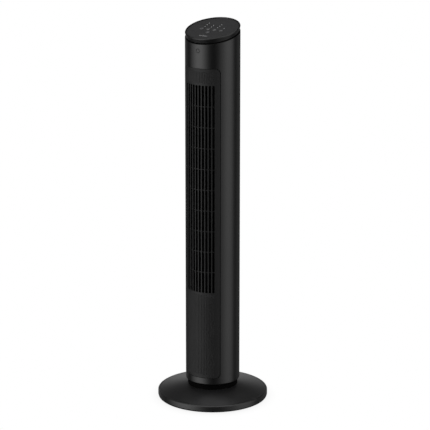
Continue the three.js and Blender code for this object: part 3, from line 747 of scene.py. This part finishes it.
def make_top_cap():
    """The cap's ring, its side drawn in towards the column, with a seat for the sunk panel."""
    rim, bore, top, seat = RADIUS - 0.1, PANEL_RADIUS + 0.3, 14.8, 9.6
    outline = filleted([
        (INNER_RADIUS - SKIRT_WALL, 2.7), (rim - 2.3, 2.7, 0.4), (rim, top - 2.5), (rim - 0.1, top, 2.4),
        (bore, top, 0.9), (bore, seat), (bore - 3.8, seat), (bore - 3.8, seat - 2),
        (INNER_RADIUS - SKIRT_WALL, seat - 2),
    ], 7)
    return lathe(outline, 160, slant)


def make_cap_skirt():
    """The cap's lower ring, which plugs into the column; its near-black colour paints the groove's shade."""
    bore, low, high = INNER_RADIUS - SKIRT_WALL, -9, 2.8
    corners = [(bore, low, 0.5), (INNER_RADIUS, low, 0.5), (INNER_RADIUS, high), (bore, high)]
    outline = filleted(corners, 4)
    return lathe(outline, 160, slant)


def button_middle(node):
    """The middle of a button in the panel's own X and Y."""
    x, y, _ = middle_mm(node)
    return x, (y - BUTTON_FLANGE_DEPTH * math.sin(TILT)) / math.cos(TILT)


keys = ["power", "speed", "mode", "timer", "swing"]
key_middles = {key: button_middle(f"button_{key}") for key in keys}
column_xs = [key_middles[key][0] for key in ("speed", "mode", "timer", "swing")]
light_middles = [
    (x, LIGHT_FIRST_ROW + row * LIGHT_ROW_PITCH)
    for x, count in zip(column_xs, LIGHTS_PER_COLUMN) for row in range(count)
]


def place_flat(mesh, matrix):
    """Moves a flat plate in millimetres rigidly into place, normals with it."""
    normals = corner_normals(mesh) @ np.array(matrix.to_3x3()).T
    mesh.transform(Matrix.Scale(MM, 4) @ matrix)
    mesh.normals_split_custom_set(normals.tolist())
    return mesh


def make_control_panel():
    """The flat panel, with a hole for each key and each light."""
    outline = circle(PANEL_RADIUS, count=128, stretch=1 / math.cos(TILT))
    holes = [circle(BUTTON_RADIUS + BUTTON_GAP, *middle, 32) for middle in key_middles.values()]
    holes += [circle(LIGHT_RADIUS, *middle, 14) for middle in light_middles]
    bm = flat_plate(outline, holes, 2.3, 0.35)
    return place_flat(flat_mesh(bm), panel_place)


def make_key(middle):
    """A round key with a dished top, a flange under the panel and a stem."""
    flange = BUTTON_RADIUS + 1.5
    outline = filleted([
        (0, -8), (2, -8), (2, -4.6), (flange, -4.6), (flange, -3.6), (BUTTON_RADIUS, -3.6),
        (BUTTON_RADIUS, 1.0, 0.6), (BUTTON_RADIUS - 1.3, 0.75, 0.8), (2.5, 0.55), (0, 0.5),
    ], 4)
    return lathe(outline, 40, panel_place @ Matrix.Translation((*middle, 0)))


def make_lenses():
    """The domed ends of the light guide, on the strip that carries them."""
    bm = bmesh.new()
    for middle in light_middles:
        outline = filleted([(0, -4), (LENS_RADIUS, -4), (LENS_RADIUS, 0.1, 0.5), (0, 0.16)], 4)
        add_lathe(bm, outline, 14, panel_place @ Matrix.Translation((*middle, 0)))
    half = column_xs[-1] + 2
    far = LIGHT_FIRST_ROW + 2.3 * LIGHT_ROW_PITCH
    ring = rounded_box(-half, half, LIGHT_FIRST_ROW - 3, far, 2, 4)
    add_loft(bm, [[panel_place @ Vector((x, y, level)) for x, y in ring] for level in (-5, -3.2)])
    return to_mesh(bm)


def arc_points(radius, start, end, x=0.0, y=0.0, count=14):
    """Points of an arc between two compass-like angles, 0 at the top and clockwise."""
    turns = [math.radians(start + (end - start) * i / count) for i in range(count + 1)]
    return [(x + radius * math.sin(t), y + radius * math.cos(t)) for t in turns]


def wave_points(width, height, y, waves=2, count=24):
    """Points of a level wavy line."""
    shares = [i / count for i in range(count + 1)]
    return [((s - 0.5) * width, y + height * math.sin(2 * math.pi * waves * s)) for s in shares]


def fan_points():
    """Three blades, each an arc about its own middle."""
    middles = arc_points(1.5, 0, 240, count=2)
    starts = (-90, 30, 150)
    return [arc_points(1.5, start, start + 150, *middle, 8) for start, middle in zip(starts, middles)]


icons = {
    "power": [arc_points(2.4, 40, 320), [(0, 0.8), (0, 3.1)]],
    "speed": fan_points(),
    "mode": [wave_points(5.6, 0.5, y) for y in (-1.7, 0, 1.7)],
    "timer": [arc_points(2.7, 0, 352, count=24), [(0, 1.7), (0, 0), (1.3, -0.7)]],
    "swing": [arc_points(3.4, -50, 50, 0, -2), [(-3.1, 1.4), (-2.7, 0.1), (-1.5, 0.6)],
              [(3.1, 1.4), (2.7, 0.1), (1.5, 0.6)]],
}


def print_strokes(strokes, width, matrix):
    """Raised printed strokes, as low rounded ridges with closed ends."""
    curve = bpy.data.curves.new("strokes", "CURVE")
    curve.dimensions = "3D"
    curve.bevel_depth = width / 2
    curve.bevel_resolution = 2
    curve.use_fill_caps = True
    for stroke in strokes:
        add_spline(curve, stroke)
    mesh = evaluated_mesh(curve)
    flatten = Matrix.Diagonal((1, 1, 0.35, 1))
    mesh.transform(Matrix.Scale(MM, 4) @ matrix @ flatten)
    mesh.shade_smooth()
    return mesh


add_piece("cap_ring", make_top_cap(), cap_black, "housing", "top_cap")
add_piece("cap_skirt", make_cap_skirt(), black_with_painted_shade, "housing", body="column")
add_piece("control_face", make_control_panel(), panel_black, "panel_face", "control_panel", even=False)
add_piece("indicator_lenses", make_lenses(), lens_grey, "clear_plastic", "light_guide")
for key in keys:
    middle = key_middles[key]
    add_piece(f"key_{key}", make_key(middle), key_grey, "button", f"button_{key}")
    icon_place = panel_place @ Matrix.Translation((*middle, KEY_PRINT_LEVEL))
    strokes = print_strokes(icons[key], 0.6, icon_place)
    add_piece(f"key_print_{key}", strokes, print_grey, "button", body=f"{key}_key", even=False)
mark_place = panel_place @ Matrix.Translation((0, MARK_PLACE, 0))
mark = print_strokes([wave_points(23, 0.8, y, 3) for y in (-1.9, 0, 1.9)], 0.7, mark_place)
add_piece("panel_print", mark, print_grey, "button", body="column", even=False)


# ---- Base --------------------------------------------------------------------------------
def gland_ring(grow, y):
    """A rounded box round the cord's gland, larger by a margin, at a place along Y."""
    lo, hi = box_mm("cord_gland")
    ring = rounded_box(lo.x - grow, hi.x + grow, lo.z - grow, hi.z + grow, GLAND_CORNER, 4)
    return [Vector((x, y, z)) for x, z in ring]


def make_base_cover():
    """A shallow cone with a rounded rim, and a hole in the rim for the cord's gland."""
    rim, rim_top = BASE_RADIUS, CONE_TOP - 17.5
    neck, bore, under = NECK_RADIUS + 1, NECK_RADIUS - 2, CONE_TOP - WALL
    outline = filleted([
        (rim - 3.6, RIM_BOTTOM, 0.5), (rim - 1.2, RIM_BOTTOM, 0.8), (rim, RIM_BOTTOM + 3.5, 3),
        (rim, rim_top, 3.4), (rim - 7, rim_top + 0.9, 6), (neck, CONE_TOP, 2), (bore, CONE_TOP),
        (bore, under), (neck, under), (rim - 4, rim_top - WALL), (rim - WALL, rim_top - 5, 2),
    ], 6)
    lo, hi = box_mm("cord_gland")
    hole = loft([gland_ring(0.2, y) for y in (lo.y - 2, hi.y + 5)])
    return carve(lathe(outline, 192), hole)


def make_base_plate():
    """The underside's disc, with a shallow ring pressed into it."""
    bore, outer, low, pressed, high = 8, BASE_RADIUS - 4.6, 3.0, 3.7, 5.5
    outline = filleted([
        (bore, low), (60, low, 0.5), (62, pressed, 0.5), (78, pressed, 0.5), (80, low, 0.5),
        (outer, low, 0.4), (outer, high, 0.4), (bore, high),
    ], 3)
    return lathe(outline, 96)


def make_foot(x, y):
    """A low rubber foot, rounded at the floor."""
    outline = filleted([(0, 0), (8.2, 0, 1.2), (9, 3, 0.3), (0, 3)], 4)
    return lathe(outline, 40, Matrix.Translation((x, y, 0)))


def make_screw(x, y):
    """A screw driven in from below, with a cross recess in its head."""
    outline = filleted([(0, 1.0), (3.0, 1.0, 0.8), (3.8, 3, 0.2), (1.9, 3), (1.9, 13), (0, 14)], 3)
    place = Matrix.Translation((x, y, 0))
    cross = []
    for turn in (0, math.pi / 2):
        spin = place @ Matrix.Rotation(turn, 4, "Z")
        ring = rounded_box(-2.1, 2.1, -0.4, 0.4, 0.2, 2)
        cross.append(loft([[spin @ Vector((px, py, z)) for px, py in ring] for z in (0.5, 1.9)]))
    return carve(lathe(outline, 24, place), *cross)


def make_gland():
    """A rubber block in the rim, its ends drawn in, with a bore for the cord."""
    lo, hi = box_mm("cord_gland")
    places = ((-0.6, lo.y), (0, lo.y + 0.6), (0, hi.y - 1.2), (-0.9, hi.y - 0.2))
    block = loft([gland_ring(grow, y) for grow, y in places])
    place = Matrix.Translation((0, lo.y, middle_mm("cord_gland")[2]))
    lying = Matrix.Rotation(math.pi / 2, 4, "X")
    bore = lathe([(0, -30), (3.7, -30), (3.7, 30), (0, 30)], 32, place @ lying)
    return carve(block, bore)


def make_neck():
    """A short sleeve with a flat top that is open in the middle."""
    bore, wall = 24, 2.5
    outline = filleted([
        (NECK_RADIUS - wall, CONE_TOP), (NECK_RADIUS, CONE_TOP), (NECK_RADIUS, NECK_TOP, 1.5),
        (bore, NECK_TOP, 0.5), (bore, NECK_TOP - wall), (NECK_RADIUS - wall, NECK_TOP - wall),
    ], 5)
    return lathe(outline, 128)


add_piece("base_dome", make_base_cover(), base_black, "housing", "base_cover")
add_piece("base_underside", make_base_plate(), inner_black_with_painted_shade, "dark_plastic", "base_plate")
# The sleeve's near-black colour is partly painted shade, for the gap under the column.
add_piece("neck_sleeve", make_neck(), black_with_painted_shade, "dark_plastic", "neck_ring")
add_piece("cord_exit_gland", make_gland(), rubber_black, "rubber", "cord_gland")
for i in range(1, FEET + 1):
    foot = make_foot(*middle_mm(f"rubber_foot_{i}")[:2])
    add_piece(f"foot_{i}", foot, rubber_black, "rubber", f"rubber_foot_{i}")
for i in range(1, SCREWS + 1):
    screw = make_screw(*middle_mm(f"base_screw_{i}")[:2])
    add_piece(f"plate_screw_{i}", screw, steel, "steel", f"base_screw_{i}")


# ---- Fan wheel ---------------------------------------------------------------------------
def blade_outline(radius, turn, steps=5):
    """A curved blade seen from above: its front face outwards, then its rear face back in."""
    front, rear = [], []
    for step in range(steps + 1):
        share = step / steps
        reach = radius - 10.5 + 9.5 * share
        bend = turn - math.radians(BLADE_SWEEP * (1 - share) ** 1.3)
        half_thickness = 0.5 + 0.35 * math.sin(math.pi * share)
        for side, face in ((1, front), (-1, rear)):
            angle = bend + side * half_thickness / reach
            face.append((reach * math.sin(angle), -reach * math.cos(angle)))
    return front + rear[::-1]


def make_wheel():
    """A long cross-flow wheel: thin curved blades between rings, staggered by section."""
    lo, hi = box_mm("impeller_wheel")
    radius = hi.x
    pitch = (hi.z - lo.z - WHEEL_RING) / WHEEL_SECTIONS
    bm = bmesh.new()
    for i in range(WHEEL_SECTIONS + 1):
        low = lo.z + i * pitch
        high = low + WHEEL_RING
        bore = {0: 12.3, WHEEL_SECTIONS: 3.3}.get(i, radius - 12.5)
        ring = [(bore, low, 0.4), (radius, low, 0.6), (radius, high, 0.6), (bore, high, 0.4)]
        add_lathe(bm, filleted(ring, 2), 48, Matrix.Identity(4))
    for section in range(WHEEL_SECTIONS):
        base = lo.z + section * pitch + WHEEL_RING / 2
        for i in range(WHEEL_BLADES):
            turn = (i + section / WHEEL_SECTIONS) * 2 * math.pi / WHEEL_BLADES
            ring = blade_outline(radius, turn)
            add_loft(bm, [[Vector((x, y, z)) for x, y in ring] for z in (base, base + pitch)])
    return to_mesh(bm)


add_piece("fan_wheel", make_wheel(), wheel_black_with_painted_shade, "dark_plastic", "impeller_wheel")

# ---- Inner parts that stay as they are in the frame ----------------------------------------
# Inner parts in the darkest plastic are coloured partly with painted shade, for the slots they are seen through.
finishes = {
    inner_black_with_painted_shade: (
        "column_floor", "duct_floor", "duct_roof", "volute_wall", "tongue_wall", "pivot_post",
        "signal_receiver",
    ),
    nylon_white: ("slide_ring", "fixed_gear", "pinion", "run_capacitor"),
    steel: ("post_nut", "motor_shaft", "top_pin", "motor_bracket"),
    motor_steel: ("motor_housing", "motor_rotor", "oscillation_motor"),
    cast_iron: ("ballast_ring", "motor_stator"),
    bronze: ("top_bearing",),
    rubber_black: (
        "wheel_hub", "bearing_holder", "motor_mount_1", "motor_mount_2", "motor_mount_3", "wire_harness",
    ),
    board_green: ("power_board", "switch_board"),
}
for material, nodes in finishes.items():
    for node in nodes:
        mesh_object = frame["nodes"][node]
        if not mesh_object.material_slots:
            mesh_object.data.materials.append(material)
        for material_slot in mesh_object.material_slots:
            material_slot.material = material

# ---- Camera, in degrees, metres and, for the lens, millimetres ---------------------------
VIEW_AZIMUTH = 32.0
VIEW_ELEVATION = 15.78
VIEW_DISTANCE = 5.9577
VIEW_CENTRE = Vector((0, 0, 0.5013))
LENS_LENGTH = 189.9
LENS_SHIFT = 0.0054
azimuth, elevation = math.radians(VIEW_AZIMUTH), math.radians(VIEW_ELEVATION)
back = Vector((
    math.sin(azimuth) * math.cos(elevation),
    -math.cos(azimuth) * math.cos(elevation),
    math.sin(elevation),
))
camera_data = bpy.data.cameras.new("camera")
camera_data.lens = LENS_LENGTH
camera_data.sensor_width = 36
camera_data.shift_x = LENS_SHIFT
camera_data.clip_end = 100
camera = bpy.data.objects.new("camera", camera_data)
scene.collection.objects.link(camera)
camera.location = VIEW_CENTRE + back * VIEW_DISTANCE
camera.rotation_mode = "QUATERNION"
camera.rotation_quaternion = (-back).to_track_quat("-Z", "Y")
scene.camera = camera


# ---- Studio light and floor ----------------------------------------------------------------
LIGHT_UNIT = 2.5
OVERHEAD_LEVEL = 0.95
BLACK = (0, 0, 0, 1)
WHITE = (1, 1, 1, 1)
BEAM_HEIGHT = 2.5
BEAM_RADIUS = 0.075
BEAM_SHIFT = 0.006
BEAM_POWER = 600
BEAM_SOFTNESS = 0.02
FLOOR_HALF_SIZE = 6
CONTACT_SHADE_REACH = 0.03

# Brightness at degrees round from the viewing side, right positive, by height of direction.
DOWN_LIGHT = [
    (-180, 0.15), (-150, 0.1), (-110, 0.02), (-90, 0.05), (-40, 0.05), (-15, 0.02), (15, 0.02),
    (40, 0.25), (85, 0.35), (105, 0.03), (150, 0.1), (180, 0.15),
]
LOW_LIGHT = [
    (-180, 0.2), (-160, 0.18), (-140, 0.12), (-120, 0.03), (-108, 0.02), (-102, 0.19), (-96, 0.6),
    (-84, 1.0), (-78, 1.43), (-72, 2.0), (-48, 2.2), (-42, 1.8), (-36, 1.25), (-30, 1.0),
    (-24, 0.62), (-17, 0.2), (-6, 0.02), (12, 0.02), (22, 0.22), (30, 0.42), (36, 0.7), (44, 0.8),
    (54, 1.22), (62, 1.42), (76, 1.35), (88, 0.92), (96, 0.42), (103, 0.03), (112, 0.04),
    (126, 0.16), (150, 0.08), (180, 0.2),
]
HIGH_LIGHT = [
    (-180, 0.03), (-140, 0.03), (-108, 0.06), (-84, 1.0), (-60, 1.6), (-40, 1.2), (-20, 0.2),
    (0, 0.1), (20, 0.2), (42, 0.7), (65, 1.0), (88, 0.7), (110, 0.06), (140, 0.03), (180, 0.03),
]
FAR_LIGHT = [
    (-180, 0.33), (-150, 0.27), (-125, 0.05), (-115, 0), (115, 0), (125, 0.05), (150, 0.27),
    (180, 0.33),
]
# From further down, the low light is weaker between these degrees.
FADE_START, FADE_END, FADE = 15, 100, 0.6


def light_ramp(tree, position, stops):
    """A colour ramp of brightnesses, over a whole turn that is mapped onto 0 to 1."""
    ramp = tree.nodes.new("ShaderNodeValToRGB")
    ramp.color_ramp.interpolation = "LINEAR"
    elements = ramp.color_ramp.elements
    while len(elements) < len(stops):
        elements.new(0.5)
    for element, (degrees, level) in zip(elements, stops):
        element.position = degrees / 360 + 0.5
        element.color = (level / LIGHT_UNIT,) * 3 + (1,)
    tree.links.new(position, ramp.inputs[0])
    return ramp.outputs["Color"]


def make_studio():
    """Soft light painted by direction. The camera itself sees plain white behind the object."""
    world = bpy.data.worlds.new("studio")
    scene.world = world
    world.use_nodes = True
    tree = world.node_tree
    tree.nodes.clear()

    def node(kind, settings=None, *inputs):
        made = tree.nodes.new(kind)
        for key, value in (settings or {}).items():
            setattr(made, key, value)
        for socket, value in zip(made.inputs, inputs):
            if isinstance(value, bpy.types.NodeSocket):
                tree.links.new(value, socket)
            elif value is not None:
                socket.default_value = value
        return made

    direction = node("ShaderNodeTexCoord").outputs["Generated"]
    turned = node("ShaderNodeVectorRotate", {"rotation_type": "Z_AXIS"}, direction)
    turned.inputs["Angle"].default_value = -azimuth
    parts = node("ShaderNodeSeparateXYZ", None, turned.outputs[0])
    toward = node("ShaderNodeMath", {"operation": "MULTIPLY"}, parts.outputs["Y"], -1.0)
    angle = node("ShaderNodeMath", {"operation": "ARCTAN2"}, parts.outputs["X"], toward.outputs[0])
    turns = 1 / (2 * math.pi)
    share = node("ShaderNodeMath", {"operation": "MULTIPLY_ADD"}, angle.outputs[0], turns, 0.5)
    down, low, high, behind = [
        light_ramp(tree, share.outputs[0], stops)
        for stops in (DOWN_LIGHT, LOW_LIGHT, HIGH_LIGHT, FAR_LIGHT)
    ]
    faded = light_ramp(tree, share.outputs[0], [
        (degrees, level * (FADE if FADE_START < degrees < FADE_END else 1))
        for degrees, level in LOW_LIGHT
    ])

    def blended(below, above, start, end):
        """One light below and another above, blended between two heights of direction."""
        settings = {"interpolation_type": "SMOOTHSTEP"}
        share_above = node("ShaderNodeMapRange", settings, parts.outputs["Z"], start, end)
        mixed = node("ShaderNodeMix", {"data_type": "RGBA"}, share_above.outputs["Result"])
        for socket, value in ((mixed.inputs[6], below), (mixed.inputs[7], above)):
            if isinstance(value, bpy.types.NodeSocket):
                tree.links.new(value, socket)
            else:
                socket.default_value = value
        return mixed.outputs[2]

    overhead = (OVERHEAD_LEVEL / LIGHT_UNIT,) * 3 + (1,)
    lower = blended(down, blended(faded, low, -0.34, -0.285), -0.52, -0.36)
    upper = blended(high, overhead, 0.66, 0.88)
    far_glow = blended(blended(BLACK, behind, -0.2, 0.0), BLACK, 0.0, 0.55)
    main = blended(lower, upper, 0.1, 0.35)
    sky = node("ShaderNodeMix", {"data_type": "RGBA", "blend_type": "ADD"}, 1.0)
    tree.links.new(main, sky.inputs[6])
    tree.links.new(far_glow, sky.inputs[7])
    lit = node("ShaderNodeBackground", None, sky.outputs[2], LIGHT_UNIT)
    backdrop = node("ShaderNodeBackground", None, WHITE, 1.0)
    seen = node("ShaderNodeLightPath").outputs["Is Camera Ray"]
    chosen = node("ShaderNodeMixShader", None, seen, lit.outputs[0], backdrop.outputs[0])
    output = node("ShaderNodeOutputWorld")
    tree.links.new(chosen.outputs[0], output.inputs["Surface"])


def make_floor():
    """A pale floor that glows evenly, with a faint painted contact shade from ambient occlusion. Only the camera
    sees it.
    """
    bm = bmesh.new()
    bmesh.ops.create_grid(bm, x_segments=8, y_segments=8, size=FLOOR_HALF_SIZE)
    mesh = bpy.data.meshes.new("floor")
    bm.to_mesh(mesh)
    bm.free()
    floor = bpy.data.objects.new("floor", mesh)
    scene.collection.objects.link(floor)
    maker = Maker("floor_white")
    tree = maker.tree
    tree.nodes.remove(maker.shader)
    # Painted contact shade: the glow is darkened where ambient occlusion finds the fan close by.
    shade = maker.node("ShaderNodeAmbientOcclusion", {"samples": 8}, Distance=CONTACT_SHADE_REACH)
    painted_shade_tone = spread(maker, shade.outputs["AO"], 0.3, 1.0, 0.9, 1.0)
    colour = maker.node("ShaderNodeCombineColor", Red=painted_shade_tone, Green=painted_shade_tone, Blue=painted_shade_tone)
    glow = maker.node("ShaderNodeEmission", Color=colour.outputs[0], Strength=1.0)
    clear = maker.node("ShaderNodeBsdfTransparent")
    seen = maker.node("ShaderNodeLightPath").outputs["Is Camera Ray"]
    chosen = maker.node("ShaderNodeMixShader", None, i0=seen, i1=clear.outputs[0], i2=glow.outputs[0])
    tree.links.new(chosen.outputs[0], tree.nodes["Material Output"].inputs["Surface"])
    mesh.materials.append(maker.material)


def make_base_light():
    """A soft narrow beam from above on the front of the base."""
    light = bpy.data.lights.new("base_light", "SPOT")
    light.energy = BEAM_POWER
    light.spot_size = 2 * math.atan(BEAM_RADIUS / BEAM_HEIGHT)
    light.spot_blend = 1.0
    light.shadow_soft_size = BEAM_SOFTNESS
    beam = bpy.data.objects.new("base_light", light)
    scene.collection.objects.link(beam)
    reach = BASE_RADIUS * MM + BEAM_SHIFT
    beam.visible_glossy = False
    beam.location = (reach * math.sin(azimuth), -reach * math.cos(azimuth), BEAM_HEIGHT)


make_studio()
make_floor()
make_base_light()
scene.view_settings.view_transform = "Standard"
